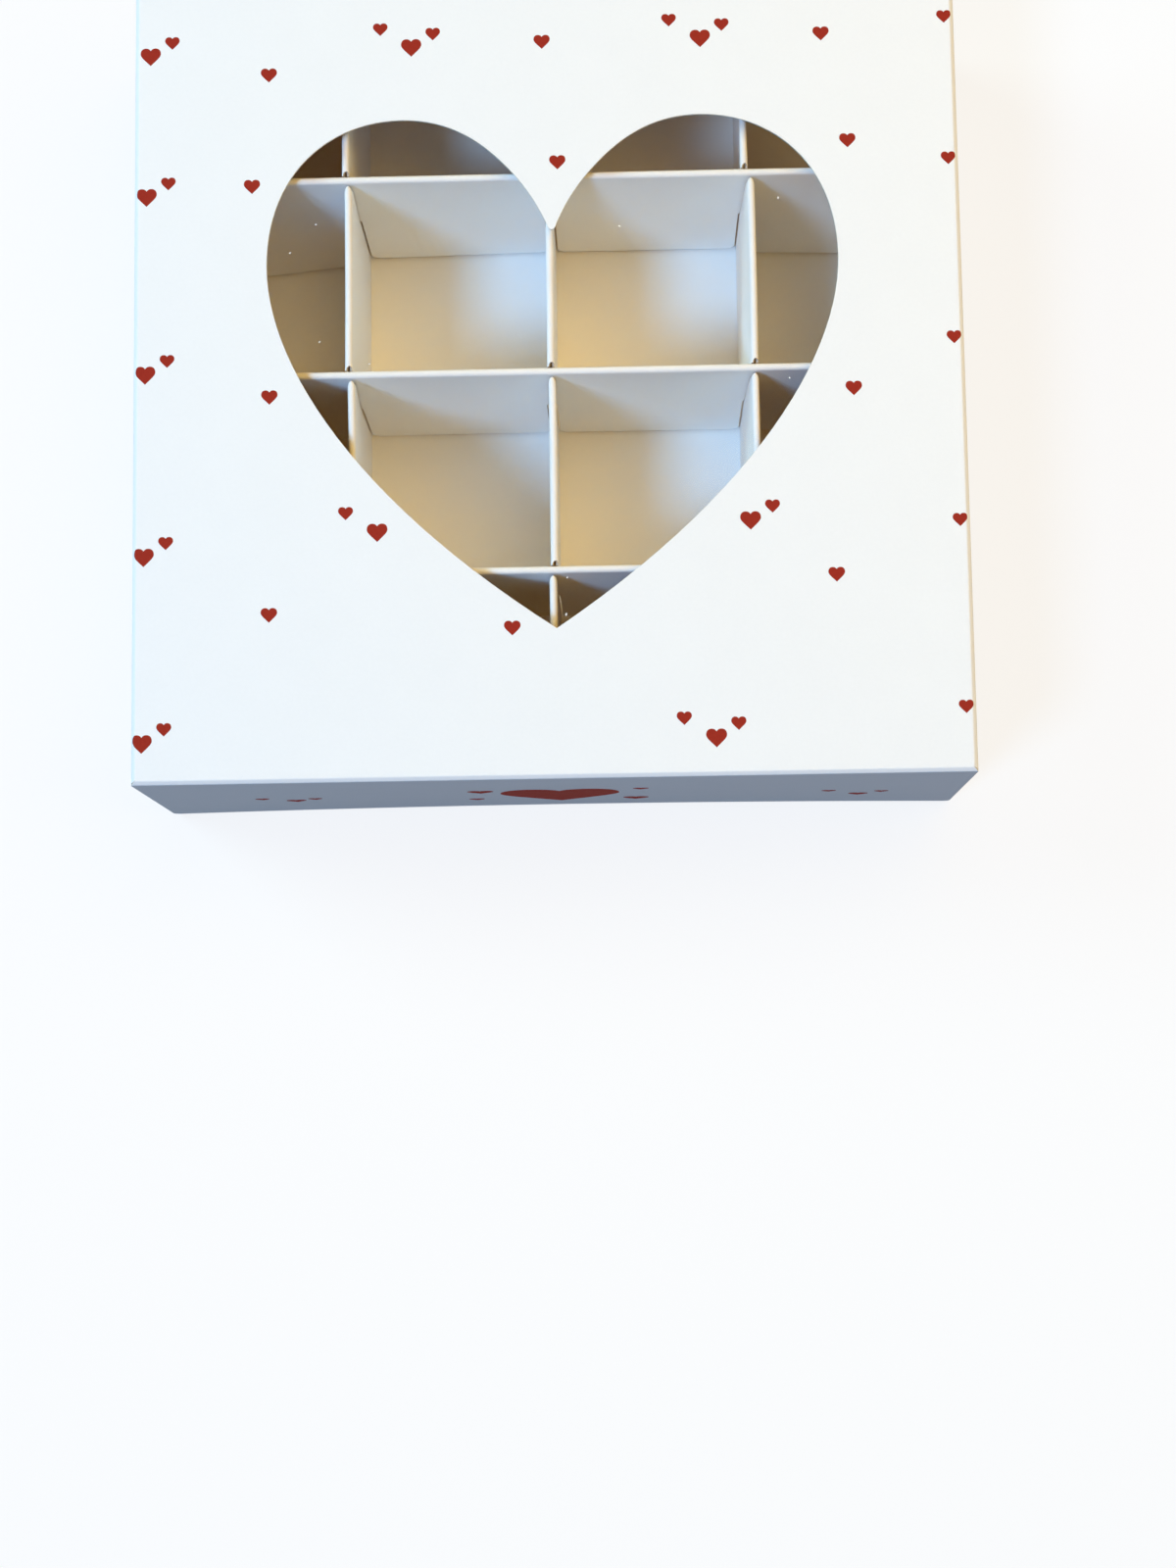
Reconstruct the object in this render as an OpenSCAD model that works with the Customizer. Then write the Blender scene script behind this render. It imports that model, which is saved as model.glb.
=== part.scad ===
// A square card box for loose sweets: a full depth lid with a heart window, a tray, and a
// slotted grid of folded card strips that makes sixteen cells.

/* [Box] */
// Width of the closed box, left to right
box_w = 170; // [150:1:200]
// Depth of the closed box, front to back
box_d = 170; // [150:1:200]
// Height of the closed box
box_h = 51.5; // [40:0.5:70]

/* [Board] */
// Thickness of the board that the lid and the tray are folded from
board_t = 0.5; // [0.35:0.05:0.7]
// Outer radius of a creased and folded edge
fold_r = 1; // [0.8:0.1:1.4]
// Length of a corner glue tab, measured from the corner
tab_len = 18; // [12:1:24]
// How far a glue tab stops short of the crease of the panel
tab_short = 1.5; // [1:0.1:3]
// How far the sloping ends of a glue tab come in
tab_slant = 4; // [2:0.5:6]
// Play between the tray and the lid that slides over it
slide_gap = 0.3; // [0.2:0.05:0.6]
// Play between the walls of the tray and the inside of the closed lid
seat_play = 0.05; // [0.05:0.05:0.3]
// Height of the free edge of the lid above the table
lid_clear = 0.5; // [0.3:0.1:2]

/* [Window] */
// Width of the heart cut out of the lid
heart_w = 117.5; // [90:0.5:125]
// Height of the heart, from its point to the top of its lobes
heart_h = 107.7; // [80:0.1:120]
// How far the heart lies to the right of the middle of the lid
heart_right = 0.9; // [0:0.1:3]
// How far the heart lies in front of the middle of the lid
heart_forward = 0.6; // [0:0.1:3]
// Thickness of the clear film
film_t = 0.2; // [0.1:0.05:0.4]
// How far the film is glued past the heart, all round
film_lap = 9; // [6:0.5:12]
// Corner radius of the film
film_corner_r = 4; // [2:0.5:8]

/* [Dividers] */
// Thickness over both plies of a folded strip
strip_t = 1.5; // [1.3:0.1:2.2]
// Thickness of one ply of a strip
ply_t = 0.45; // [0.35:0.05:0.5]
// Space between the tops of the strips and the lid
head_room = 3.3; // [2:0.1:8]
// Play at each side of a strip in its slot
slot_play = 0.25; // [0.15:0.05:0.5]
// Play between the end of a strip and the crease of the tray
end_play = 0.1; // [0.05:0.05:0.4]
// Radius that opens the mouth of a slot and rounds the ends of a strip
mouth_r = 2; // [1:0.1:3]

/* [Hidden] */
$fn = 64;

board_colour = [0.93, 0.93, 0.92];
strip_colour = [0.86, 0.85, 0.83];
film_colour = [0.8, 0.9, 1, 0.3];

// How far a cut runs past the faces that it opens
overrun = board_t;

// Depth of the seam at a corner, as a share of the thickness of the board
seam_depth_share = 0.8;

// Inner radius of a folded edge
fold_inner_r = fold_r - board_t;

// The tray fits inside the lid, and inside the glue tabs of its front and back walls
tray_w = box_w - 2 * (board_t + slide_gap);
tray_d = box_d - 2 * (2 * board_t + slide_gap);
lid_depth = box_h - lid_clear;

// The side walls of the tray end where they meet the inside of the lid's crease
crease_reach = max(0, fold_inner_r - slide_gap);
crease_drop = fold_inner_r - sqrt(pow(fold_inner_r, 2) - pow(crease_reach, 2));
tray_h = box_h - board_t - crease_drop - seat_play;

// Inner size of the tray, and the pitch of the cells along each side
cells = 4;
inner_w = tray_w - 2 * board_t;
inner_d = tray_d - 2 * board_t;
pitch_w = inner_w / cells;
pitch_d = inner_d / cells;

// The strips stand on the floor of the tray, between its creases
strip_end_gap = fold_inner_r + end_play;
strip_h = box_h - 2 * board_t - head_room;
slot_w = strip_t + 2 * slot_play;
slot_depth = strip_h / 2 + slot_play;

// Half of the heart as three Bezier curves from the notch, over a lobe and down to the point.
// Shares of its half width, and of its height above the point.
heart_notch_share = [0, 0.776];
heart_curve_shares = [
    [[0.09, 0.907], [0.335, 1], [0.52, 1]],
    [[0.79, 1], [1, 0.895], [1, 0.71]],
    [[1, 0.482], [0.6, 0.217], [0, 0]]
];
heart_steps = 12;

// A point on a cubic Bezier curve
function bezier(a, b, c, d, t) =
    pow(1 - t, 3) * a + 3 * pow(1 - t, 2) * t * b + 3 * (1 - t) * t * t * c + t * t * t * d;

// The points after the first one of each curve in turn
function heart_half() = [
    for (i = [0 : len(heart_curve_shares) - 1])
        let (
            from = i == 0 ? heart_notch_share : heart_curve_shares[i - 1][2],
            curve = heart_curve_shares[i]
        )
        for (k = [1 : heart_steps])
            bezier(from, curve[0], curve[1], curve[2], k / heart_steps)
];

// The whole outline: the notch, the right half down to the point, and the left half back up
function heart_outline() =
    let (half = heart_half(), last = len(half) - 1)
    concat(
        [heart_notch_share],
        half,
        [for (i = [last - 1 : -1 : 0]) [-half[i][0], half[i][1]]]
    );

// The heart window, about the middle of its own height
module heart() {
    translate([heart_right, -heart_forward - heart_h / 2])
        polygon([for (p = heart_outline()) [p[0] * heart_w / 2, p[1] * heart_h]]);
}

// Front view of a folded panel: two walls, two rounded creases and the panel on top
module shoulder_outline(w, h, r) {
    translate([-w / 2, 0]) square([w, h - r]);
    translate([-w / 2 + r, 0]) square([w - 2 * r, h]);
    for (side = [-1, 1]) translate([side * (w / 2 - r), h - r]) circle(r);
}

// A block with its four upper edges rounded, and mitred where they meet
module folded_block(w, d, h, r) {
    intersection() {
        rotate([90, 0, 0]) linear_extrude(d, center = true) shoulder_outline(w, h, r);
        rotate([90, 0, 90]) linear_extrude(w, center = true) shoulder_outline(d, h, r);
    }
}

// Plan of a rectangle with rounded corners
module rounded_plan(w, d, r) {
    square([w - 2 * r, d], center = true);
    square([w, d - 2 * r], center = true);
    for (x = [-1, 1], y = [-1, 1])
        translate([x * (w / 2 - r), y * (d / 2 - r)]) circle(r);
}

// Plan of the hollow beside the glue tabs, which lie inside the front and back walls
module hollow_plan(w, d) {
    rounded_plan(w - 2 * board_t, d - 4 * board_t, fold_inner_r);
    square([w - 2 * tab_len, d - 2 * board_t], center = true);
}

// Plan of the seams at the corners, where a side wall turns round behind the edge of the
// front or back wall
module seam_plan(w, d) {
    seam_depth = board_t * seam_depth_share;
    for (x = [0, 1], y = [0, 1])
        mirror([x, 0]) mirror([0, y])
            translate([w / 2 - fold_r, d / 2 - board_t - fold_r])
                difference() {
                    translate([fold_r - seam_depth, 0])
                        square([seam_depth + overrun, fold_r]);
                    circle(fold_r);
                }
}

// Sloping cuts across the free end of a glue tab and across its end at the crease
module tab_end_cuts(w, d, height) {
    for (x = [0, 1], y = [0, 1], end = [0, 1])
        mirror([x, 0, 0]) mirror([0, y, 0])
            translate([w / 2 - tab_len, d / 2 - board_t, end * height])
                mirror([0, 0, end])
                    rotate([90, 0, 0])
                        linear_extrude(board_t + overrun)
                            polygon([
                                [-overrun, -overrun],
                                [tab_len - fold_r, -overrun],
                                [tab_len - fold_r, 0],
                                [-overrun, tab_slant]
                            ]);
}

// One creased blank, folded up into a panel with four walls, and open below. Its glue tabs
// start under a short band of plain wall that ends in the crease of the panel.
module carton(w, d, depth) {
    height = depth - fold_r - tab_short;
    hollow_w = w - 2 * board_t;
    hollow_d = d - 2 * board_t;
    hollow_top = depth - board_t - height;
    translate([0, 0, -depth])
        difference() {
            folded_block(w, d, depth, fold_r);
            translate([0, 0, height])
                folded_block(hollow_w, hollow_d, hollow_top, fold_inner_r);
            translate([0, 0, -overrun])
                linear_extrude(height + 2 * overrun) hollow_plan(w, d);
            translate([0, 0, -overrun])
                linear_extrude(height + overrun) seam_plan(w, d);
            tab_end_cuts(w, d, height);
        }
}

// The tray stands on its panel, with its walls up
module base_tray() {
    color(board_colour)
        mirror([0, 0, 1])
            carton(tray_w, tray_d, tray_h);
}

// The lid, with the heart cut through its panel
module lid() {
    color(board_colour)
        translate([0, 0, box_h])
            difference() {
                carton(box_w, box_d, lid_depth);
                translate([0, 0, -board_t - overrun])
                    linear_extrude(board_t + 2 * overrun) heart();
            }
}

// Clear film, glued to the underside of the panel round the heart
module window_film() {
    color(film_colour)
        translate([heart_right, -heart_forward, box_h - board_t - film_t])
            linear_extrude(film_t)
                rounded_plan(heart_w + 2 * film_lap, heart_h + 2 * film_lap, film_corner_r);
}

// Section of a strip: one card folded double, with the fold on top
module hairpin_section() {
    difference() {
        hairpin_outline(strip_t);
        hairpin_outline(strip_t - 2 * ply_t);
    }
}

// An upright with a round top, whose wall to the top of the strip is one ply
module hairpin_outline(t) {
    top = strip_h - strip_t / 2;
    translate([-t / 2, 0]) square([t, top]);
    translate([0, top]) circle(t / 2);
}

// Side view of a slot, with its mouth at height 0 and opened by two round corners
module slot_outline() {
    translate([-slot_w / 2, -slot_depth]) square([slot_w, slot_depth + overrun]);
    difference() {
        translate([-slot_w / 2 - mouth_r, -mouth_r])
            square([slot_w + 2 * mouth_r, mouth_r + overrun]);
        for (side = [-1, 1])
            translate([side * (slot_w / 2 + mouth_r), -mouth_r]) circle(mouth_r);
    }
}

// Side view of the corner that is cut off the top of a strip at each end
module end_trim_outline(length) {
    for (side = [-1, 1])
        translate([side * (length / 2 - mouth_r), strip_h - mouth_r])
            difference() {
                translate([side > 0 ? 0 : -mouth_r - overrun, 0])
                    square([mouth_r + overrun, mouth_r + overrun]);
                circle(mouth_r);
            }
}

// A strip along Y, with its slots cut from above or from below
module strip(length, pitch, from_above) {
    translate([0, 0, board_t])
        difference() {
            rotate([90, 0, 0]) linear_extrude(length, center = true) hairpin_section();
            rotate([90, 0, 90])
                linear_extrude(2 * strip_t, center = true) {
                    for (i = [1 : cells - 1])
                        translate([(i - cells / 2) * pitch, from_above ? strip_h : 0])
                            mirror([0, from_above ? 0 : 1])
                                slot_outline();
                    end_trim_outline(length);
                }
        }
}

// A strip that runs from front to back, slotted from above
module long_divider(index) {
    color(strip_colour)
        translate([index * pitch_w, 0, 0])
            strip(inner_d - 2 * strip_end_gap, pitch_d, true);
}

// A strip that runs from side to side, slotted from below
module cross_divider(index) {
    color(strip_colour)
        translate([0, index * pitch_d, 0])
            rotate([0, 0, 90])
                strip(inner_w - 2 * strip_end_gap, pitch_w, false);
}

module long_divider_left() { long_divider(-1); }
module long_divider_middle() { long_divider(0); }
module long_divider_right() { long_divider(1); }
module cross_divider_front() { cross_divider(-1); }
module cross_divider_middle() { cross_divider(0); }
module cross_divider_back() { cross_divider(1); }

base_tray();
long_divider_left();
long_divider_middle();
long_divider_right();
cross_divider_front();
cross_divider_middle();
cross_divider_back();
window_film();
lid();
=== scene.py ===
"""Pick and mix box: a card tray with a slotted grid of strips, under a deep lid with a heart window."""

import math
import random

import bpy
from mathutils import Matrix, Vector
from mathutils.geometry import delaunay_2d_cdt


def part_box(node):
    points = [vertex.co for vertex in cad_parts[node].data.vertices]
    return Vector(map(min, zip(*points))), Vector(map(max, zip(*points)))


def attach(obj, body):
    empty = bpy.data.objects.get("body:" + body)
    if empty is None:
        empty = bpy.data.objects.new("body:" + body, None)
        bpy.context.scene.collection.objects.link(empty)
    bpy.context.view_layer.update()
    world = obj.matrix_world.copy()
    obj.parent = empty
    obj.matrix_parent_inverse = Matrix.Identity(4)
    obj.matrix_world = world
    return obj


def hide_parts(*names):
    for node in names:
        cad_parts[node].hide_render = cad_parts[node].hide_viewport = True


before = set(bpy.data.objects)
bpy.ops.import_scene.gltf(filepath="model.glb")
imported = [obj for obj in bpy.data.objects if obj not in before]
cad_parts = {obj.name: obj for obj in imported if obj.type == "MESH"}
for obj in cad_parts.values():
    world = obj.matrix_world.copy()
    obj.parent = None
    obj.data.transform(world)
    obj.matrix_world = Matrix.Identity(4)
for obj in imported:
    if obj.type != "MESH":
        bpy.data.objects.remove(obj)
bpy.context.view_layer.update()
scene = bpy.context.scene

# Camera. It looks almost straight down from a little in front of the box, so that the front wall of
# the lid shows as a narrow band. The image is 1200 by 1600, and its height sets the lens.
image_height = 1600
focal_pixels = 2667.7
film_height = 36
camera_place = (0.01545, -0.15086, 0.57031)
nearest_seen = 0.01
furthest_seen = 20

camera = bpy.data.objects.new("camera", bpy.data.cameras.new("camera"))
camera.data.sensor_fit = "VERTICAL"
camera.data.sensor_height = film_height
camera.data.lens = focal_pixels * film_height / image_height
camera.data.clip_start = nearest_seen
camera.data.clip_end = furthest_seen
look_right = Vector((0.99972, -0.01507, -0.01838)).normalized()
look_back = Vector((0.01638, -0.12357, 0.9922)).normalized()
look_up = look_back.cross(look_right).normalized()
look_right = look_up.cross(look_back)
facing = Matrix((look_right, look_up, look_back)).transposed().to_4x4()
camera.matrix_world = Matrix.Translation(camera_place) @ facing
scene.collection.objects.link(camera)
scene.camera = camera
scene.view_settings.view_transform = "Standard"


# Table and light. The box stands on a plain pale table by a window on its left, with a warm room
# light high on its right and a white wall low on that side. The table is pale to the camera and in
# glossy and clear things, and brown to the walls of the box, which keeps the front wall in shade.
class Shade:
    """One output of the nodes of a finish. Arithmetic on it adds Math nodes to the same finish."""

    def __init__(self, tree, socket=None):
        self.tree = tree
        self.socket = socket

    def node(self, kind, settings=None, values=None, output=0):
        """Adds a node: its settings first, then the values or links of its sockets."""
        made = self.tree.nodes.new(kind)
        for name, value in (settings or {}).items():
            if name == "stops":
                for stop, (place, colour) in zip(made.color_ramp.elements, value):
                    stop.position = place
                    stop.color = (*colour, 1)
            else:
                setattr(made, name, value)
        for name, value in (values or {}).items():
            if isinstance(value, Shade):
                self.tree.links.new(value.socket, made.inputs[name])
            else:
                made.inputs[name].default_value = value
        return Shade(self.tree, made.outputs[output] if len(made.outputs) else None)

    def maths(self, operation, first, second):
        return self.node("ShaderNodeMath", {"operation": operation}, {0: first, 1: second})

    def __add__(self, other):
        return self.maths("ADD", self, other)

    def __radd__(self, other):
        return self.maths("ADD", other, self)

    def __sub__(self, other):
        return self.maths("SUBTRACT", self, other)

    def __rsub__(self, other):
        return self.maths("SUBTRACT", other, self)

    def __mul__(self, other):
        return self.maths("MULTIPLY", self, other)

    def most(self, other):
        return self.maths("MAXIMUM", self, other)

    def blend(self, first, second):
        """Goes from the first colour to the second as this value goes from 0 to 1."""
        colours = [(*c, 1) if isinstance(c, tuple) else c for c in (first, second)]
        settings = {"data_type": "RGBA"}
        return self.node("ShaderNodeMix", settings, {0: self, 6: colours[0], 7: colours[1]}, 2)


def new_finish(name):
    """An empty material, and the start of its nodes."""
    material = bpy.data.materials.new(name)
    material.use_nodes = True
    material.node_tree.nodes.clear()
    return material, Shade(material.node_tree)


def seen_directly(start):
    """1 for what the camera sees, itself or in glossy and clear things, and 0 for light between walls."""
    kinds = ("Is Camera Ray", "Is Glossy Ray", "Is Transmission Ray")
    camera_ray, glossy_ray, clear_ray = (start.node("ShaderNodeLightPath", output=k) for k in kinds)
    return camera_ray.most(glossy_ray).most(clear_ray)


table_reach = 3
table_glow = 0.8
table_mesh = bpy.data.meshes.new("table")
corners = [(x * table_reach, y * table_reach, 0) for x, y in ((-1, -1), (1, -1), (1, 1), (-1, 1))]
table_mesh.from_pydata(corners, [], [(0, 1, 2, 3)])
table = bpy.data.objects.new("table", table_mesh)
scene.collection.objects.link(table)

table_finish, start = new_finish("pale_table")
brown_table = start.node("ShaderNodeBsdfDiffuse", values={"Color": (0.16, 0.12, 0.08, 1)})
shaded_table = start.node("ShaderNodeBsdfDiffuse", values={"Color": (0.9, 0.9, 0.9, 1)})
white_table = start.node("ShaderNodeEmission", values={"Color": (1, 1, 1, 1), "Strength": 1.0})
pale_table = start.node(
    "ShaderNodeMixShader", values={0: table_glow, 1: shaded_table, 2: white_table}
)
table_look = start.node(
    "ShaderNodeMixShader", values={0: seen_directly(start), 1: brown_table, 2: pale_table}
)
start.node("ShaderNodeOutputMaterial", values={"Surface": table_look})
table_mesh.materials.append(table_finish)

world = bpy.data.worlds.new("room")
world.use_nodes = True
world.node_tree.nodes.clear()
start = Shade(world.node_tree)
dim_room = start.node(
    "ShaderNodeBackground", values={"Color": (1, 0.62, 0.25, 1), "Strength": 0.09}
)
white_room = start.node("ShaderNodeBackground", values={"Color": (1, 1, 1, 1), "Strength": 1.0})
room = start.node(
    "ShaderNodeMixShader", values={0: seen_directly(start), 1: dim_room, 2: white_room}
)
start.node("ShaderNodeOutputWorld", values={"Surface": room})
scene.world = world


def lamp(name, towards, distance, spread_angle, colour):
    """A round soft lamp, as wide as its spread angle when it is seen from the box. colour is what it
    makes of a level white card."""
    way = Vector(towards).normalized()
    strongest = max(colour)
    light = bpy.data.lights.new(name, "AREA")
    light.shape = "DISK"
    light.size = 2 * distance * math.tan(math.radians(spread_angle) / 2)
    light.color = [part / strongest for part in colour]
    light.energy = strongest * math.pi**2 * distance**2 / way.z
    made = bpy.data.objects.new(name, light)
    made.location = way * distance
    made.rotation_mode = "QUATERNION"
    made.rotation_quaternion = way.to_track_quat("Z", "Y")
    scene.collection.objects.link(made)


lamp("high_window", (-0.5, -0.46, 1), distance=2.6, spread_angle=14, colour=(0.17, 0.335, 0.595))
lamp("side_window", (-1.2, 0.5, 1), distance=1.5, spread_angle=30, colour=(0.195, 0.295, 0.34))
lamp("room_light", (0.40, 0.16, 1), distance=0.8, spread_angle=52, colour=(0.565, 0.345, 0.052))
lamp("white_wall", (2.6, -0.3, 1), distance=0.8, spread_angle=40, colour=(0.062, 0.082, 0.087))


# Base tray. One blank of thin white board, coated outside and bare inside, is creased, folded up
# into a floor and four walls, and glued at the corners by tabs that the side walls turn into
# behind the front and back walls.
mm = 0.001
mm_per_metre = 1000
# The lengths of all pieces are in millimetres.
board = 0.5
crease = 1.0
cut_edge = 0.05
tab_reach = 18
tab_short = 1.5
tab_slant = 4
tab_slit = 0.3
foot_corner = 1.4
# The score crushes a crease to a bevel tilted by score_tilt, between two bends with a radius of
# score_bend. The board beside it stays flat for the length of crease_hold.
score_bend = 0.55
score_tilt = math.radians(40)
crease_steps = 60
crease_hold = 0.35
# A wall bows by this power of how far down it a point is.
bow_power = 1.3
rim_step = 6
turn_step = 0.4
wall_rows = 8


def inside(point, loops):
    """True if a flat point lies inside an odd number of the loops."""
    x, y = point
    within = False
    for loop in loops:
        ax, ay = loop[-1]
        for bx, by in loop:
            if (ay > y) != (by > y) and x < ax + (y - ay) * (bx - ax) / (by - ay):
                within = not within
            ax, ay = bx, by
    return within


# Points nearer than this are one. The other value limits how far a sharp corner of a rim is mitred.
weld = 1e-5
mitre_least = 0.7


def cut(loops, lines, fold, thickness, edge=cut_edge):
    """Die-cuts a flat blank and folds it. loops are its outline and holes, lines run where it must bend,
    and fold(u, v, depth) says where a point of the flat blank goes, at a depth below its outer face. The
    cut edge is rounded by edge. Gives the corners, the faces, and the kind of each face: 0 for outer, 1
    for cut edge and 2 for inner."""
    points = []
    links = []
    for row, closed in [(loop, True) for loop in loops] + [(line, False) for line in lines]:
        first = len(points)
        points += [Vector(p) for p in row]
        links += [(k, k + 1) for k in range(first, len(points) - 1)]
        if closed:
            links.append((len(points) - 1, first))
    # The flat blank
    flat, _, triangles, _, _, _ = delaunay_2d_cdt(points, links, [], 0, weld)
    kept = [t for t in triangles if inside(sum((flat[k] for k in t), Vector((0, 0))) / 3, loops)]
    used = sorted({k for t in kept for k in t})
    number = {k: n for n, k in enumerate(used)}
    kept = [[number[k] for k in t] for t in kept]
    flat = [flat[k] for k in used]

    # Its rim, and the way out from each point of the rim
    sides = {(t[k], t[(k + 1) % 3]) for t in kept for k in range(3)}
    rim = [(a, b) for a, b in sides if (b, a) not in sides]
    rim.sort()
    outward = {}
    for a, b in rim:
        along = (flat[b] - flat[a]).normalized()
        for k in (a, b):
            outward.setdefault(k, []).append(Vector((along.y, -along.x)))
    for k, ways in outward.items():
        way = sum(ways, Vector((0, 0)))
        outward[k] = way / max(way.length_squared / 2, mitre_least) if len(ways) == 2 else way * 0

    # The two skins, folded, with rings of corners round the cut edge between them
    total = len(flat)
    corners = [fold(p.x, p.y, 0) for p in flat] + [fold(p.x, p.y, thickness) for p in flat]
    faces = [tuple(t) for t in kept] + [tuple(total + k for k in reversed(t)) for t in kept]
    kinds = [0] * len(kept) + [2] * len(kept)
    slope = math.sqrt(0.5)
    last = thickness / edge - 1
    profile = [(slope, 1 - slope), (1, 1), (1, last), (slope, last + slope)]
    rings = [{k: k for k in outward}]
    for reach, depth in profile:
        ring = {}
        for k, way in outward.items():
            ring[k] = len(corners)
            point = flat[k] + way * edge * reach
            corners.append(fold(point.x, point.y, depth * edge))
        rings.append(ring)
    rings.append({k: total + k for k in outward})
    for upper, lower in zip(rings, rings[1:]):
        for a, b in rim:
            faces.append((upper[b], upper[a], lower[a], lower[b]))
            kinds.append(1)
    return corners, faces, kinds


sharp_turn = math.radians(20)


def make_piece(name, parts, finishes, body, turned):
    """Joins cut parts into one piece in metres, with its finishes, and lets it ride on a body."""
    corners = []
    faces = []
    kinds = []
    for part_corners, part_faces, part_kinds in parts:
        first = len(corners)
        corners += [p * mm for p in part_corners]
        faces += [tuple(first + k for k in face) for face in part_faces]
        kinds += part_kinds
    mesh = bpy.data.meshes.new(name)
    mesh.from_pydata(corners, [], faces)
    mesh.transform(turned)
    for finish in finishes:
        mesh.materials.append(finish)
    mesh.polygons.foreach_set("material_index", kinds)
    mesh.polygons.foreach_set("use_smooth", [True] * len(mesh.polygons))
    mesh.set_sharp_from_angle(angle=sharp_turn)
    mesh.validate()
    mesh.update()
    piece = bpy.data.objects.new(name, mesh)
    scene.collection.objects.link(piece)
    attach(piece, body)
    return piece


def spread(low, high, step):
    """Evenly spaced values from low to high, no further apart than step."""
    count = max(1, math.ceil((high - low) / step))
    return [low + (high - low) * k / count for k in range(count + 1)]


class Carton:
    """A folded blank with its panel on top: its flat outline, the lines it bends along, and its fold."""

    def __init__(self, width, depth, height, end_bow, side_bow):
        self.half_x = width / 2
        self.half_y = depth / 2
        self.height = height
        self.end_bow = end_bow
        self.side_bow = side_bow
        self.flat_x = self.half_x - crease
        self.flat_y = self.half_y - crease
        self.turn_y = self.half_y - board - crease
        self.arc = crease * math.pi / 2
        self.wall = height - crease - cut_edge
        upright = math.pi / 2
        first = score_tilt * score_bend / crease
        last = (upright - score_tilt) * score_bend / crease
        level = upright - first - last
        self.angles = spread(0, first, first / 3)[:-1] + [first, first + level / 2]
        self.angles += spread(first + level, upright, last / 4)
        # How far out and down a crease has come after each step, and how far it has turned
        self.path = []
        out = 0
        down = 0
        for k in range(crease_steps + 1):
            gone = upright * k / crease_steps
            turn = score_tilt * min(1, gone / first)
            turn += (upright - score_tilt) * max(0, gone - first - level) / last
            out += math.cos(turn) if k else 0
            down += math.sin(turn) if k else 0
            self.path.append((out, down, turn))
        wide, high = crease / out, crease / down
        self.path = [(a * wide, b * high, turn) for a, b, turn in self.path]
        down_wall = [self.arc + self.wall * k / wall_rows for k in range(1, wall_rows)]
        self.rows = [self.arc + crease_hold] + down_wall

    def bend(self, over, depth=0):
        """How far out and down a crease has come, that far past its start."""
        place = min(over / self.arc, 1) * (len(self.path) - 1)
        row = min(int(place), len(self.path) - 2)
        out, down, turn = (
            a + (b - a) * (place - row) for a, b in zip(self.path[row], self.path[row + 1])
        )
        return out - depth * math.sin(turn), down + depth * math.cos(turn)

    def outline(self):
        """The whole outline, from the same quarter four times over."""
        foot = self.flat_x + self.arc + self.wall
        tab_top = self.flat_x + self.arc + tab_short
        tab_end = self.turn_y + self.arc + tab_reach - crease
        # The foot of a side wall, its glue tab and the slit above the tab
        quarter = [(foot, v) for v in spread(rim_step / 2, self.turn_y - rim_step, rim_step)]
        quarter += [(foot, self.turn_y + crease * a) for a in self.angles]
        quarter += [(foot - tab_slant, tab_end), (tab_top + tab_slant, tab_end)]
        quarter += [(tab_top, self.turn_y + crease * a) for a in reversed(self.angles)]
        shoulder = self.flat_y + crease - board - cut_edge
        quarter += [(tab_top - tab_slit, self.turn_y), (tab_top - tab_slit, shoulder)]
        # The corner of the panel, where the raw edges of two creases meet
        for a in reversed(self.angles):
            reach = self.bend(crease * a)[0] * (1 - board / crease) - cut_edge
            quarter.append((self.flat_x + crease * a, self.flat_y + reach))
        for a in self.angles:
            reach = self.bend(crease * a)[0] - cut_edge
            quarter.append((self.flat_x + reach, self.flat_y + crease * a))
        # The raw end of a front or back wall, and its foot
        side = self.half_x - cut_edge
        quarter += [(side, self.flat_y + row) for row in self.rows]
        end = self.flat_y + self.arc + self.wall
        for a in spread(0, math.pi / 2, turn_step):
            away = foot_corner * (1 - math.cos(a)), foot_corner * (1 - math.sin(a))
            quarter.append((side - away[0], end - away[1]))
        quarter += [(u, end) for u in reversed(spread(rim_step / 2, side - rim_step, rim_step))]
        loop = []
        for x, y, back in ((1, 1, 1), (-1, 1, -1), (-1, -1, 1), (1, -1, -1)):
            loop += [(x * u, y * v) for u, v in quarter[::back]]
        return loop

    def lines(self):
        """Rows of points along the creases, and down the walls, which bow a little."""
        made = []
        for way in (-1, 1):
            for a in self.angles:
                reach = self.flat_x + self.bend(crease * a)[0] - cut_edge
                v = way * (self.flat_y + crease * a)
                made.append([(u, v) for u in spread(-reach, reach, rim_step)])
                reach = self.flat_y + self.bend(crease * a)[0] * (1 - board / crease) - cut_edge
                u = way * (self.flat_x + crease * a)
                made.append([(u, v) for v in spread(-reach, reach, rim_step)])
            in_x = self.flat_x - crease_hold
            in_y = self.flat_y - crease_hold
            made.append([(u, way * in_y) for u in spread(-in_x, in_x, rim_step)])
            made.append([(way * in_x, v) for v in spread(-in_y, in_y, rim_step)])
            for row in self.rows:
                reach = self.half_x - cut_edge
                v = way * (self.flat_y + row)
                made.append([(u, v) for u in spread(-reach, reach, rim_step)])
                u = way * (self.flat_x + row)
                reach = self.turn_y - crease_hold
                made.append([(u, v) for v in spread(-reach, reach, rim_step)])
            for a in self.angles:
                for end in (-1, 1):
                    top = self.flat_x + self.arc + tab_short
                    foot = self.flat_x + self.arc + self.wall
                    v = end * (self.turn_y + crease * a)
                    made.append([(way * u, v) for u in spread(top, foot, rim_step)])
        return made

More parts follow.
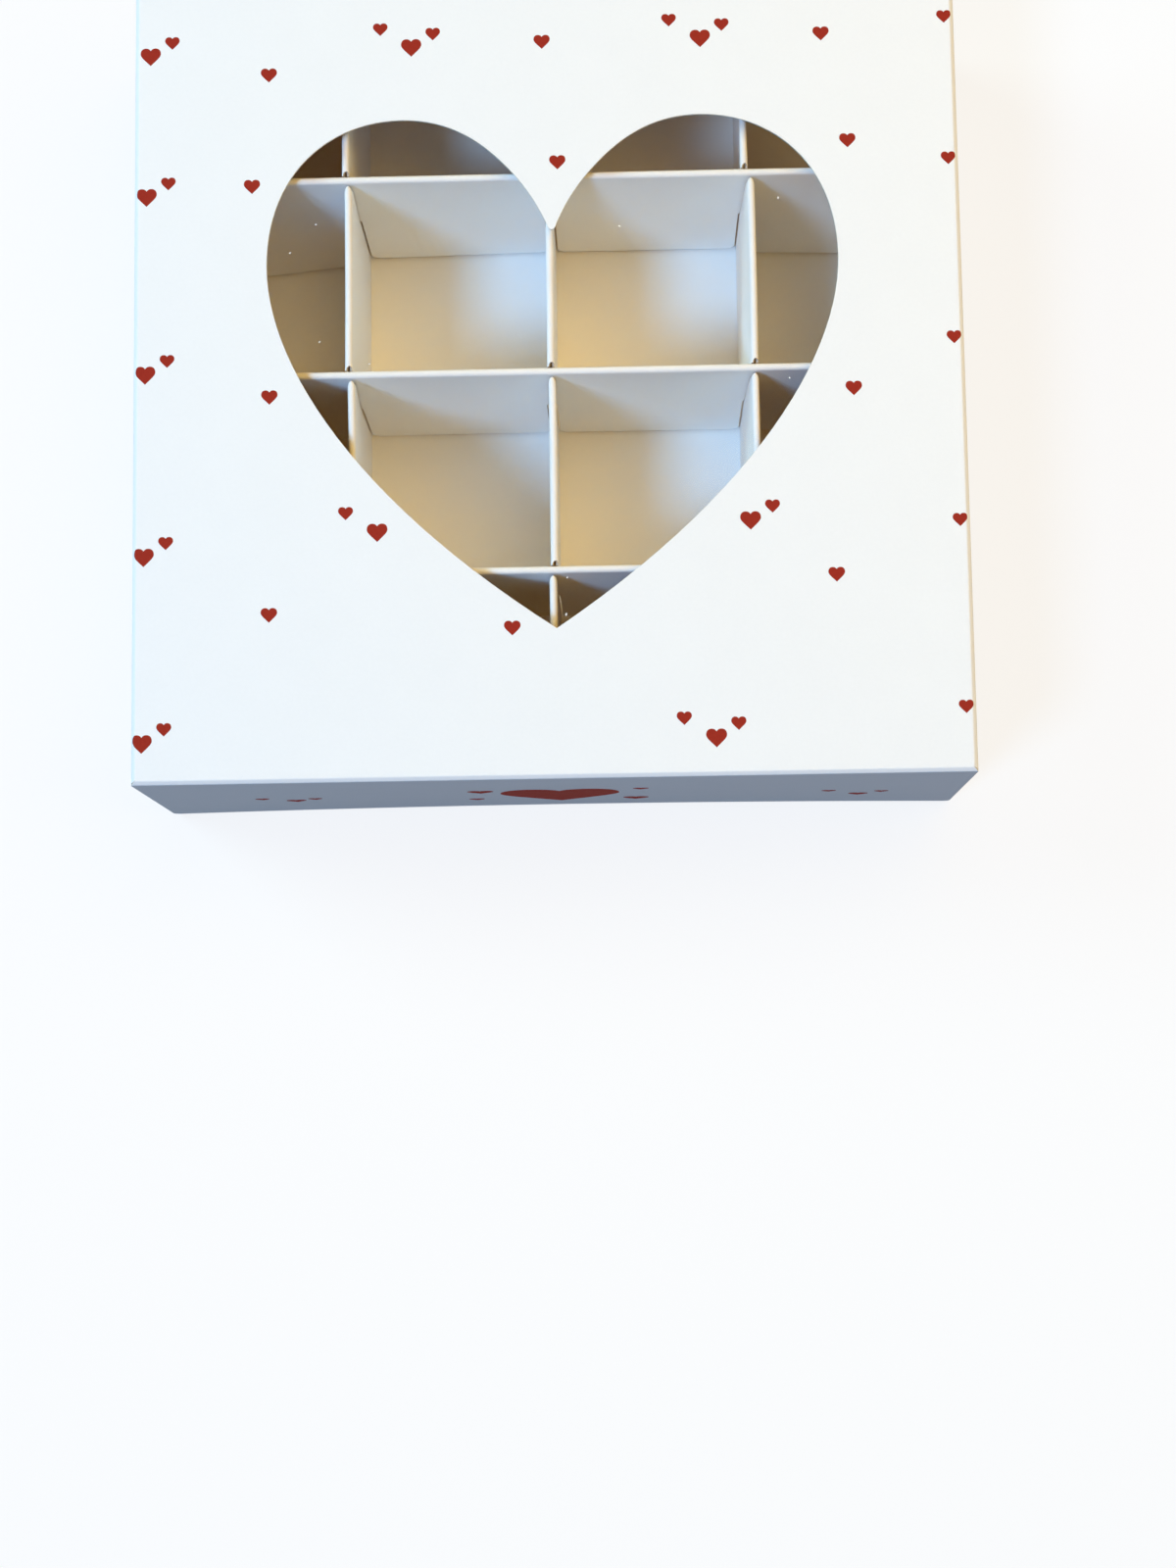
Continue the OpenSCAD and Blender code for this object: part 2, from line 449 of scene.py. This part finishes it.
    def fold(self, u, v, depth):
        """Where a point of the flat blank goes. The panel stays level, at the full height."""
        over_x = abs(u) - self.flat_x
        over_y = abs(v) - self.flat_y
        radius = crease - depth
        x, y = abs(u), abs(v)
        z = self.height - depth
        if over_y > max(0, over_x) and x <= self.half_x:
            # A front or back wall and its crease
            if over_y < self.arc:
                out, down = self.bend(over_y, depth)
                y = self.flat_y + out
                z = self.height - down
            else:
                y = self.flat_y + radius
                z = self.height - crease - (over_y - self.arc)
                y -= self.bow(self.end_bow, x / self.half_x, (over_y - self.arc) / self.wall)
        elif over_x > 0:
            # A side wall and its crease
            if over_x < self.arc:
                out, down = self.bend(over_x, depth)
                x = self.flat_x + out
                z = self.height - down
            else:
                x = self.flat_x + radius
                z = self.height - crease - (over_x - self.arc)
                fallen = (over_x - self.arc) / self.wall
                past = y - self.turn_y
                if past > 0 and over_x > self.arc + tab_short - tab_slit / 2:
                    # Its glue tab, which bows with the wall that it is glued to
                    if past < self.arc:
                        x = self.flat_x + radius * math.cos(past / crease)
                        y = self.turn_y + radius * math.sin(past / crease)
                    else:
                        x = self.flat_x - (past - self.arc)
                        y = self.turn_y + radius
                    y -= self.bow(self.end_bow, x / self.half_x, fallen)
                else:
                    x -= self.bow(self.side_bow, y / self.turn_y, fallen)
        return Vector((math.copysign(x, u), math.copysign(y, v), z))

    def bow(self, amount, along, down):
        """How far a point of a wall is drawn in, which is most at the middle of the free edge."""
        return amount * max(0, 1 - along**2) * max(0, down) ** bow_power


def card_finish(name, light, dark, roughness, grain, tooth):
    """Board: clouds of two close tones, a fine tooth of fibres, and a sheen that wanders a little."""
    material, start = new_finish(name)
    where = start.node("ShaderNodeTexCoord", output="Object")
    clouds = start.node(
        "ShaderNodeTexNoise", values={"Vector": where, "Scale": 90, "Detail": 4, "Roughness": 0.6}
    )
    fibres = start.node(
        "ShaderNodeTexNoise", values={"Vector": where, "Scale": grain, "Detail": 5, "Roughness": 0.7}
    )
    flecks = start.node(
        "ShaderNodeValToRGB",
        {"stops": [(0.35, (0, 0, 0)), (0.72, (1, 1, 1))]},
        {"Fac": clouds * 0.4 + fibres * 0.6},
    )
    colour = flecks.blend(light, dark)
    bump = start.node(
        "ShaderNodeBump",
        values={"Height": fibres + clouds * 0.5, "Strength": tooth, "Distance": 0.00005},
    )
    skin = start.node(
        "ShaderNodeBsdfPrincipled",
        values={
            "Base Color": colour,
            "Roughness": roughness + (fibres - 0.5) * 0.25,
            "Specular IOR Level": 0.06,
            "Normal": bump,
        },
    )
    start.node("ShaderNodeOutputMaterial", values={"Surface": skin})
    return material


coated_board = card_finish(
    "coated_board", (0.915, 0.91, 0.905), (0.89, 0.885, 0.88), roughness=0.75, grain=1400, tooth=0.35
)
bare_board = card_finish(
    "bare_board", (0.955, 0.945, 0.885), (0.935, 0.925, 0.855), roughness=0.85, grain=900, tooth=0.7
)
board_edge = card_finish(
    "board_edge", (0.84, 0.80, 0.71), (0.66, 0.60, 0.50), roughness=0.9, grain=3500, tooth=0.9
)

tray_low, tray_high = (Vector(corner) * mm_per_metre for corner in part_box("base_tray"))
tray_size = tray_high - tray_low
tray_carton = Carton(tray_size.x, tray_size.y, tray_size.z, end_bow=0.15, side_bow=0.1)
stand_up = Matrix.Translation((0, 0, tray_size.z * mm)) @ Matrix.Rotation(math.pi, 4, "X")
tray = make_piece(
    "tray_carton",
    [cut([tray_carton.outline()], tray_carton.lines(), tray_carton.fold, board)],
    [coated_board, board_edge, bare_board],
    "tray",
    stand_up,
)
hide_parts("base_tray")


# Dividers. Six strips of white card, each folded double with the fold on top, are pushed together
# by hand: three from front to back, slotted from above, and three across, slotted from below. No
# finger stands quite straight, and the front ply of a cross strip springs open at its foot.
bays = 4
ply = 0.45
strip_thick = 1.5
slot_play = 0.25
slot_bevel = 0.3
mouth = 2
mouth_step = 0.15
# The cross strips end above the floor, and their slots are wider.
foot_play = 0.2
foot_gap = 0.7
# The crown behind a slot is torn back in half an oval, a little to one side of its middle.
torn_half = 0.75
torn_deep = 0.9
torn_aside = 0.25
torn_steps = 10
# The back end of a finger is pinched to a share of its thickness, and its tip drops.
pinch_long = 1.9
pinch_tall = 5
pinch_shares = (0.04, 0.15, 0.3, 0.5, 0.75, 1)
pinch_least_share = 0.2
tip_drop = 0.4
# A finger leans least at its ends, which the slots hold: by this share of the most.
held_share = 0.85
# The rows of points that bend with a strip: the steps between them over its crown, how far they run
# past its ends, and how far apart they are along it, round a pinched tip and down a ply.
fold_steps = 14
overrun = 1
long_step = 5
tip_step = 1.2
down_step = 5.5
first_row = 0.4
last_row = 0.5


class Strip:
    """A strip folded double over a round crown, flat along s, and along w to each side of the crown."""

    def __init__(self, length, tall, pitch, from_above, bends):
        self.half = length / 2
        self.tall = tall
        self.pitch = pitch
        self.from_above = from_above
        self.radius = strip_thick / 2
        self.arc = self.radius * math.pi / 2
        self.reach = self.arc + tall - self.radius - cut_edge
        self.slot_half = strip_thick / 2 + slot_play - cut_edge
        self.slot_deep = tall / 2 + slot_play - cut_edge
        if not from_above:
            self.reach -= foot_gap
            self.slot_deep -= foot_gap
            self.slot_half += foot_play
        self.bends = bends
        self.slots = [(k + 1 - bays / 2) * pitch for k in range(bays - 1)]

    def across(self, drop):
        """How far from the crown, along the card, a point lies that is that much lower."""
        if drop < self.radius:
            return self.radius * math.acos(1 - drop / self.radius)
        return self.arc + drop - self.radius

    def corner(self, radius):
        """A round corner of a finger, as how far it stands back and how far it is down."""
        turns = spread(0, math.pi / 2, mouth_step)
        return [(radius * (1 - math.sin(a)), radius * (1 - math.cos(a))) for a in turns]

    def loops(self):
        """The outline of the flat strip, and the slots across its crown if it is slotted from above."""
        half = self.half - cut_edge
        end = [(half - back, self.across(down)) for back, down in self.corner(mouth)]
        if self.from_above:
            quarters = end + [(half, self.reach)]
            loop = quarters + [(-s, w) for s, w in reversed(quarters)]
            loop += [(-s, -w) for s, w in quarters[1:]]
            loop += [(s, -w) for s, w in reversed(quarters[1:])]
            deep = self.across(self.slot_deep)
            return [loop] + [self.crown_slot(s, deep) for s in self.slots]
        edge = []
        for s in reversed(self.slots):
            deep = self.reach - self.slot_deep
            side = [(self.slot_half + back, self.reach - down) for back, down in self.corner(mouth)]
            side += [(self.slot_half, deep + slot_bevel), (self.slot_half - slot_bevel, deep)]
            edge += [(s + a, w) for a, w in side]
            edge += [(s - a, w) for a, w in reversed(side)]
        upper = end + [(half, self.reach)] + edge + [(-half, self.reach)]
        upper += [(-s, w) for s, w in reversed(end)]
        lower = [(-s, -w) for s, w in upper]
        return [upper[:-1] + lower[:-1]]

    def crown_slot(self, s, deep):
        """A slot cut across the crown. The crown of the finger behind it is torn back a little, so that
        the hollow shows."""
        side = self.slot_half
        torn = []
        for k in range(-torn_steps, torn_steps + 1):
            w = torn_half * k / torn_steps
            back = torn_deep * math.sqrt(max(0, 1 - (w / torn_half) ** 2))
            torn.append((s + side + back, w + torn_aside))
        hole = [(s + side - slot_bevel, -deep), (s + side, slot_bevel - deep)] + torn
        hole += [(s + side, deep - slot_bevel), (s + side - slot_bevel, deep)]
        hole += [(s - side + slot_bevel, deep), (s - side, deep - slot_bevel)]
        return hole + [(s - side, slot_bevel - deep), (s - side + slot_bevel, -deep)]

    def lines(self):
        """Rows of points round the crown, down the pinched ends of the fingers and along both plies."""
        half = self.half + overrun
        made = []
        for k in range(fold_steps + 1):
            w = self.arc * (2 * k / fold_steps - 1)
            made.append([(s, w) for s in spread(-half, half, long_step)])
        if self.from_above:
            reach = self.arc + pinch_tall
            for slot in self.slots:
                for share in pinch_shares:
                    s = slot - self.slot_half - share * pinch_long
                    made.append([(s, w) for w in spread(-reach, reach, tip_step)])
        for row in spread(self.arc + first_row, self.reach - last_row, down_step):
            for way in (-1, 1):
                made.append([(s, way * row) for s in spread(-half, half, long_step)])
        return made

    def fold(self, s, w, depth):
        """Folds the strip and stands it up along Y. A finger of a strip slotted from above leans, and its
        back end is pinched to a round tip. One ply of a strip slotted from below springs open at its foot,
        by an amount at each end of a bay."""
        radius = self.radius - depth
        if abs(w) < self.arc:
            x = radius * math.sin(w / self.radius)
            z = self.tall - self.radius + radius * math.cos(w / self.radius)
        else:
            x = math.copysign(radius, w)
            z = self.tall - self.radius - (abs(w) - self.arc)
        if self.from_above:
            ahead = [slot - self.slot_half - s for slot in self.slots]
            nearest = min([max(0, gap) for gap in ahead if gap > -self.slot_half] + [pinch_long])
            tip = 1 - nearest / pinch_long
            high = max(0, 1 - (self.tall - z) / pinch_tall)
            pinch = (1 - max(pinch_least_share, math.sqrt(1 - tip * tip))) * high
            x *= 1 - pinch
            z -= tip_drop * pinch
            s -= tip_drop * pinch
        bay = min(bays - 1, max(0, int(s / self.pitch + bays / 2)))
        along = s / self.pitch + bays / 2 - bay
        if self.from_above:
            free = max(0, 1 - (along * 2 - 1) ** 2)
            lean = self.bends[bay] * (held_share + (1 - held_share) * free)
            x += lean * max(0, 2 * z / self.tall - 1)
        elif w < 0:
            one, two = self.bends[bay]
            x -= (one + (two - one) * along) * max(0, 1 - 2 * z / self.tall) ** bow_power
        return Vector((x, s, z))


divider_card = card_finish(
    "divider_card", (0.96, 0.965, 0.94), (0.925, 0.93, 0.90), roughness=0.7, grain=1100, tooth=0.5
)
# The raw cut edges of the strips: a little darker than the card, as a cut edge is, and darkened well past
# that to paint the shade in the gaps at the slots and the ends of the fingers.
divider_edge_and_shade = card_finish(
    "divider_edge_and_shade", (0.52, 0.47, 0.39), (0.38, 0.33, 0.27), roughness=0.9, grain=3500, tooth=0.9
)

# How far the top of each finger leans to the right, from the front one to the back one, on the left,
# middle and right strip.
leans = ((0.3, 1.35, 0.75, 0.15), (0.42, 0.82, 0.55, 0.2), (0.4, 0.68, 0.69, -0.85))

# How far the front ply springs forward at the ends of each bay, from the right one to the left one,
# on the front, middle and back strip.
springs = (
    ((1.2, 0.4), (0.2, 0), (0, 0.2), (0.4, 1)),
    ((1, 0.3), (0.1, 0), (0, 0.1), (0.5, 1.2)),
    ((2.2, 1), (0, 0), (0, 0.7), (2.1, 6.6)),
)

tray_inside = tray_size - Vector((2 * board, 2 * board, 0))
for group, across_box in (("long", False), ("cross", True)):
    names = ("front", "middle", "back") if across_box else ("left", "middle", "right")
    bends = springs if across_box else leans
    for index, place in enumerate(names):
        node = f"{group}_divider_{place}"
        low, high = (Vector(corner) * mm_per_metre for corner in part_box(node))
        size = high - low
        length = size.x if across_box else size.y
        pitch = (tray_inside.x if across_box else tray_inside.y) / bays
        strip = Strip(length, size.z, pitch, not across_box, bends[index])
        middle = (low + high) * (mm / 2)
        turned = Matrix.Translation(middle - Vector((0, 0, size.z * mm / 2)))
        if across_box:
            turned = turned @ Matrix.Rotation(math.pi / 2, 4, "Z")
        piece = make_piece(
            f"{node}_strip",
            [cut(strip.loops(), strip.lines(), strip.fold, ply)],
            [divider_card, divider_edge_and_shade, divider_card],
            f"{group}_dividers",
            turned,
        )
        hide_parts(node)


# Lid. A second blank, as deep as the box, slides over the tray. A heart is die-cut through its
# panel. The front and back walls run past the corners, with their raw edges showing beside the
# folds of the side walls, and their free edges are drawn in a little.
window_width = 117.35
window_height = 107.2
window_place = Vector((1.1, -0.87))
window_steps = 26
# The lid leaves room for the ink on its panel and walls.
print_thick = 0.02


def bezier(a, b, c, d, t):
    """A point on a cubic curve."""
    return a * (1 - t) ** 3 + b * 3 * (1 - t) ** 2 * t + c * 3 * (1 - t) * t * t + d * t**3


def heart(middle, width, height, notch, curves, steps):
    """A heart as a loop, from its notch over the right lobe to the point and back. The curves are shares of
    half its width and of its height above the point."""
    half = [Vector(notch)]
    for one, two, end in curves:
        start_point = half[-1]
        for k in range(1, steps + 1):
            half.append(bezier(start_point, Vector(one), Vector(two), Vector(end), k / steps))
    right = [(middle[0] + p.x * width / 2, middle[1] + (p.y - 0.5) * height) for p in half]
    left = [(middle[0] - p.x * width / 2, middle[1] + (p.y - 0.5) * height) for p in half[1:-1]]
    return right + left[::-1]


window_notch = (0, 0.776)
window_curves = (
    ((0.008, 0.777), (0.014, 0.781), (0.0162, 0.7873)),
    ((0.053, 0.834), (0.099, 0.872), (0.17, 0.912)),
    ((0.242, 0.952), (0.35, 1), (0.524, 1)),
    ((0.785, 1), (1, 0.895), (1, 0.715)),
    ((1, 0.517), (0.68, 0.247), (0, 0)),
)

lid_low, lid_high = (Vector(corner) * mm_per_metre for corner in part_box("lid"))
lid_size = lid_high - lid_low - Vector((2, 2, 1)) * print_thick
lid_carton = Carton(lid_size.x, lid_size.y, lid_size.z, end_bow=0.75, side_bow=0.15)
rise = Matrix.Translation((0, 0, lid_low.z * mm))
window = heart(
    window_place,
    window_width + 2 * cut_edge,
    window_height + 2 * cut_edge,
    window_notch,
    window_curves,
    window_steps,
)
lid = make_piece(
    "lid_carton",
    [cut([lid_carton.outline(), window], lid_carton.lines(), lid_carton.fold, board)],
    [coated_board, board_edge, bare_board],
    "lid",
    rise,
)
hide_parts("lid")


# Window film. A sheet of clear film is glued to the underside of the panel round the heart. From above it
# shows by a faint painted warm light that it lays over the cells, brighter over the cells at the back
# right, and by a few flecks of card dust that catch the light.
film_thick = 0.08
film_edge = 0.02
film_lap = 9
film_corner = 4
film_turn_step = 0.2
film_step = 7
film_inset = 3
film_sag = 0.07
ripple_long = 17
ripple_wide = 23
film_half = Vector((window_width / 2 + film_lap, window_height / 2 + film_lap))
film_top = lid_size.z - board


def film_outline():
    """A rectangle with round corners."""
    loop = []
    for k, (x, y) in enumerate(((1, 1), (-1, 1), (-1, -1), (1, -1))):
        centre = window_place + Vector((x * (film_half.x - film_corner), y * (film_half.y - film_corner)))
        for a in spread(k * math.pi / 2, (k + 1) * math.pi / 2, film_turn_step):
            loop.append((centre.x + film_corner * math.cos(a), centre.y + film_corner * math.sin(a)))
    return loop


def film_fold(u, v, depth):
    """The film hangs level, and ripples by a hair where nothing holds it."""
    x = (u - window_place.x) / film_half.x
    y = (v - window_place.y) / film_half.y
    free = max(0, 1 - x**4) * max(0, 1 - y**4)
    ripple = 0.5 - 0.5 * math.sin(u / ripple_long + 1) * math.cos(v / ripple_wide)
    return Vector((u, v, film_top - depth - film_sag * free * ripple))


film_rows = []
inner = film_half - Vector((film_inset, film_inset))
for v in spread(-inner.y, inner.y, film_step):
    row = [(window_place.x + u, window_place.y + v) for u in spread(-inner.x, inner.x, film_step)]
    film_rows.append(row)

# Shares of painted warm light everywhere, in its uneven clouds, and in the painted patch of light at the
# back right. That patch starts at these places, in metres, and grows from them by this much a metre each
# way.
painted_light_share = 0.03
painted_cloud_share = 0.04
painted_patch_share = 0.036
patch_right = 0.03
patch_back = -0.004
patch_growth = 45

clear_film, start = new_finish("clear_film")
where = start.node("ShaderNodeTexCoord", output="Object")
waves = start.node("ShaderNodeTexNoise", values={"Vector": where, "Scale": 25, "Detail": 1})
film_bump = start.node("ShaderNodeBump", values={"Height": waves, "Strength": 0.2, "Distance": 0.001})
painted_light_clouds = start.node("ShaderNodeTexNoise", values={"Vector": where, "Scale": 60, "Detail": 3})
# Painted warm light: an orange diffuse veil on the film that warms and lifts the shaded cells below it,
# uneven in clouds.
painted_warm_light = start.node("ShaderNodeBsdfDiffuse", values={"Color": (1, 0.38, 0.06, 1)})
behind = start.node("ShaderNodeNewGeometry", output="Backfacing")
mirror = start.node("ShaderNodeFresnel", values={"IOR": 1.12, "Normal": film_bump}) * (1 - behind)
shine = start.node(
    "ShaderNodeBsdfGlossy", values={"Color": (1, 1, 1, 1), "Roughness": 0.06, "Normal": film_bump}
)
clear = start.node("ShaderNodeBsdfTransparent", values={"Color": (0.995, 0.995, 0.995, 1)})
glazing = start.node("ShaderNodeMixShader", values={0: mirror, 1: clear, 2: shine})
to_right = start.node("ShaderNodeSeparateXYZ", values={"Vector": where}, output="X")
to_back = start.node("ShaderNodeSeparateXYZ", values={"Vector": where}, output="Y")
# Painted light: a pale warm patch on the film, growing towards the back right, that brightens the cells
# there.
brighter_right = ((to_right - patch_right) * patch_growth).most(0)
brighter_back = ((to_back - patch_back) * patch_growth).most(0)
painted_light_patch = start.node("ShaderNodeBsdfDiffuse", values={"Color": (0.95, 0.68, 0.34, 1)})
painted_light_cover = (painted_light_share + painted_light_clouds * painted_cloud_share) * (1 - behind)
film_and_painted_light = start.node("ShaderNodeMixShader", values={0: painted_light_cover, 1: glazing, 2: painted_warm_light})
painted_patch_cover = brighter_right * brighter_back * painted_patch_share * (1 - behind)
film_look = start.node("ShaderNodeMixShader", values={0: painted_patch_cover, 1: film_and_painted_light, 2: painted_light_patch})
start.node("ShaderNodeOutputMaterial", values={"Surface": film_look})

film = make_piece(
    "film_sheet",
    [cut([film_outline()], film_rows, film_fold, film_thick, film_edge)],
    [clear_film, clear_film, clear_film],
    "lid",
    rise,
)
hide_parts("window_film")

dust_thick = 0.05
dust_edge = 0.01
fleck_least = 0.22
fleck_most = 0.34
fleck_turn_step = 0.8
flecks_in_all = 12
reach_x = 58
reach_y = 50
# Four flecks have places of their own, and chance scatters the rest over the window.
dust = [(-52.8, 25), (-46.8, 6), (47.8, 34.6), (3, -51.6)]
chance = random.Random(11)
while len(dust) < flecks_in_all:
    spot = (chance.uniform(-reach_x, reach_x), chance.uniform(-reach_y, reach_y))
    if inside(spot, [window]):
        dust.append(spot)


def dust_fold(u, v, depth):
    """Dust lies on the film."""
    return film_fold(u, v, depth - dust_thick)


def fleck(u, v):
    """A fleck of card dust, flat and ragged, and half a millimetre or so across."""
    size = chance.uniform(fleck_least, fleck_most)
    long_way = chance.uniform(0, math.pi)
    loop = []
    for a in spread(0, 2 * math.pi * 7 / 8, fleck_turn_step):
        reach = size * chance.uniform(0.6, 1) * (0.75 + 0.35 * math.cos(2 * (a - long_way)))
        loop.append((u + reach * math.cos(a), v + reach * math.sin(a)))
    return cut([loop], [], dust_fold, dust_thick, dust_edge)


card_dust = card_finish(
    "card_dust", (0.96, 0.95, 0.93), (0.86, 0.85, 0.82), roughness=0.9, grain=5000, tooth=0.9
)
make_piece("film_dust", [fleck(*spot) for spot in dust], [card_dust] * 3, "lid", rise)


# Printed hearts. Plain hearts in a low-gloss red ink are scattered over the blank before it is
# folded: a larger one between two small ones, in loose rows, with single ones between, some of them
# over the creases. The front wall has a big plain heart with four smaller ones round it.
large_heart = 4.2
small_heart = 3.02
single_heart = 3.35
front_heart = 25
beside_front_heart = 5.5
heart_tall_share = 0.9
ink_steps = 9
print_edge = 0.004
# This share of the ink's thickness stands above the board.
print_proud_share = 0.8
# A crease bends the hearts whose middle is nearer to it than this share of their width.
crease_near_share = 0.6
ink_notch = (0, 0.85)
ink_curves = (
    ((0.1, 0.955), (0.27, 1), (0.47, 1)),
    ((0.79, 1), (1, 0.88), (1, 0.68)),
    ((1, 0.5), (0.62, 0.34), (0, 0)),
)


def trio(u, v, left=(-6.4, 4.1), right=(4.5, 2.9)):
    """A larger heart with a small one up on each side."""
    beside = [(u + aside, v + above, small_heart) for aside, above in (left, right)]
    return [(u, v, large_heart)] + beside


def singles(*places):
    """Hearts that stand alone."""
    return [(u, v, single_heart) for u, v in places]


# Each heart is a place, measured from the middle of the flat blank, and a width.
scatter = trio(-81.7, 67.5) + trio(-27.5, 68.3) + trio(32.4, 69)
scatter += trio(-82.4, 37.2) + trio(-82.5, -0.5) + trio(-82.6, -38.5) + trio(-82.8, -76.7)
scatter += [h for h in trio(-35.1, -34.2) if h[0] < -34]
scatter += [h for h in trio(40.6, -33.1) if h[0] > 40]
scatter += trio(32.8, -77.4)
scatter += singles((-57.1, 63), (-0.4, 69), (57.4, 69.5), (-60.6, 39.1), (2.5, 43), (62.3, 46.4))
scatter += singles((-57, -5.6), (62.2, -6), (57.7, -44.5), (-57.1, -50.8), (-7.9, -54.3))
for v in (68.5, 38.1, 0.2, -37.8, -76):
    scatter += trio(89.3, v)
for v in (-59, -20, 19, 58):
    scatter += trio(118, v) + trio(-112, v + 4) + trio(v - 6, 112)
    scatter += singles((105, v + 18), (127, v - 15), (-99, v - 12), (-125, v + 22))
    scatter += singles((v + 13, 99), (v + 9, 125))

# The hearts on the front wall, measured down from its crease
front = -(lid_carton.flat_y + lid_carton.arc)
scatter += trio(-55.6, front - 31.3, (-6.7, 4.2), (4.3, 2.8))
scatter += trio(63.8, front - 35.2, (-6.6, 5.8), (4.6, 4.3))
scatter += [(0.5, front - 30, front_heart)]
scatter += [(-16, front - 22, beside_front_heart), (16.5, front - 38, beside_front_heart)]
scatter += singles((-17.5, front - 36), (17.5, front - 20))

red_ink, start = new_finish("red_ink")
where = start.node("ShaderNodeTexCoord", output="Object")
cover = start.node(
    "ShaderNodeTexNoise", values={"Vector": where, "Scale": 1600, "Detail": 3, "Roughness": 0.6}
)
ink_colour = cover.blend((0.29, 0.025, 0.014), (0.38, 0.034, 0.019))
ink_bump = start.node("ShaderNodeBump", values={"Height": cover, "Strength": 0.3, "Distance": 0.00002})
ink_skin = start.node(
    "ShaderNodeBsdfPrincipled",
    values={
        "Base Color": ink_colour,
        "Roughness": 0.6 + cover * 0.15,
        "Specular IOR Level": 0.03,
        "Normal": ink_bump,
    },
)
start.node("ShaderNodeOutputMaterial", values={"Surface": ink_skin})


def print_fold(u, v, depth):
    """Ink follows the board of the lid."""
    return lid_carton.fold(u, v, depth - print_thick * print_proud_share)


def printed_heart(u, v, width):
    """A heart of ink, cut from a thin skin that bends over the creases where it meets them."""
    loop = heart((u, v), width, width * heart_tall_share, ink_notch, ink_curves, ink_steps)
    reach = width * crease_near_share
    bends = []
    for a in lid_carton.angles:
        for way in (-1, 1):
            line_u = way * (lid_carton.flat_x + crease * a)
            line_v = way * (lid_carton.flat_y + crease * a)
            if abs(line_u - u) < reach:
                bends.append([(line_u, v - reach), (line_u, v + reach)])
            if abs(line_v - v) < reach:
                bends.append([(u - reach, line_v), (u + reach, line_v)])
    return cut([loop], bends, print_fold, print_thick, print_edge)


make_piece(
    "printed_hearts",
    [printed_heart(*one) for one in scatter],
    [red_ink, red_ink, red_ink],
    "lid",
    rise,
)
